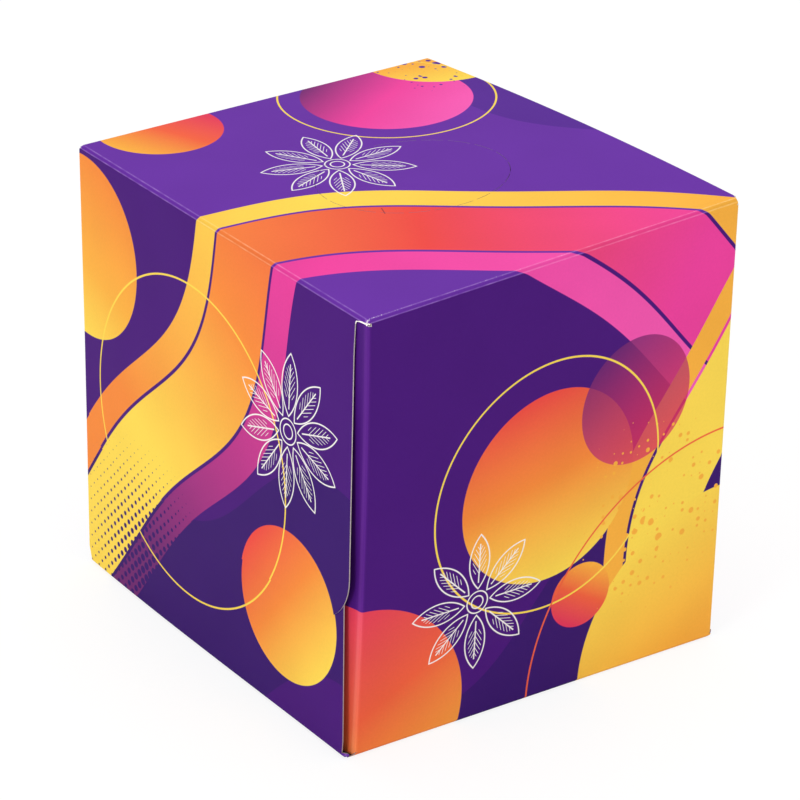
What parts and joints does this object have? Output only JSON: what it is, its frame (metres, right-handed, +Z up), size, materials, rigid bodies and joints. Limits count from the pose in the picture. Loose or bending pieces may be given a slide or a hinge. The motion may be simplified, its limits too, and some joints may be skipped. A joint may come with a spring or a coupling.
{
  "type": "tissue box",
  "caption": "Sealed cube-shaped folding carton of facial tissues with glued end flaps and a perforated tear-out oval in its top.",
  "frame": {"origin": "centre of the face that the carton stands on, at the standing surface", "axes": "+X along the wrapped panels, from one glued end to the other; +Y from the front panel to the back panel; +Z up"},
  "size_m": [0.114, 0.126, 0.121],
  "materials": {
    "printed_board": "satin varnished folding boxboard, printed all over in violet, magenta, orange and yellow"
  },
  "bodies": {
    "root": {"tissue_carton": "printed_board"}
  },
  "joints": []
}
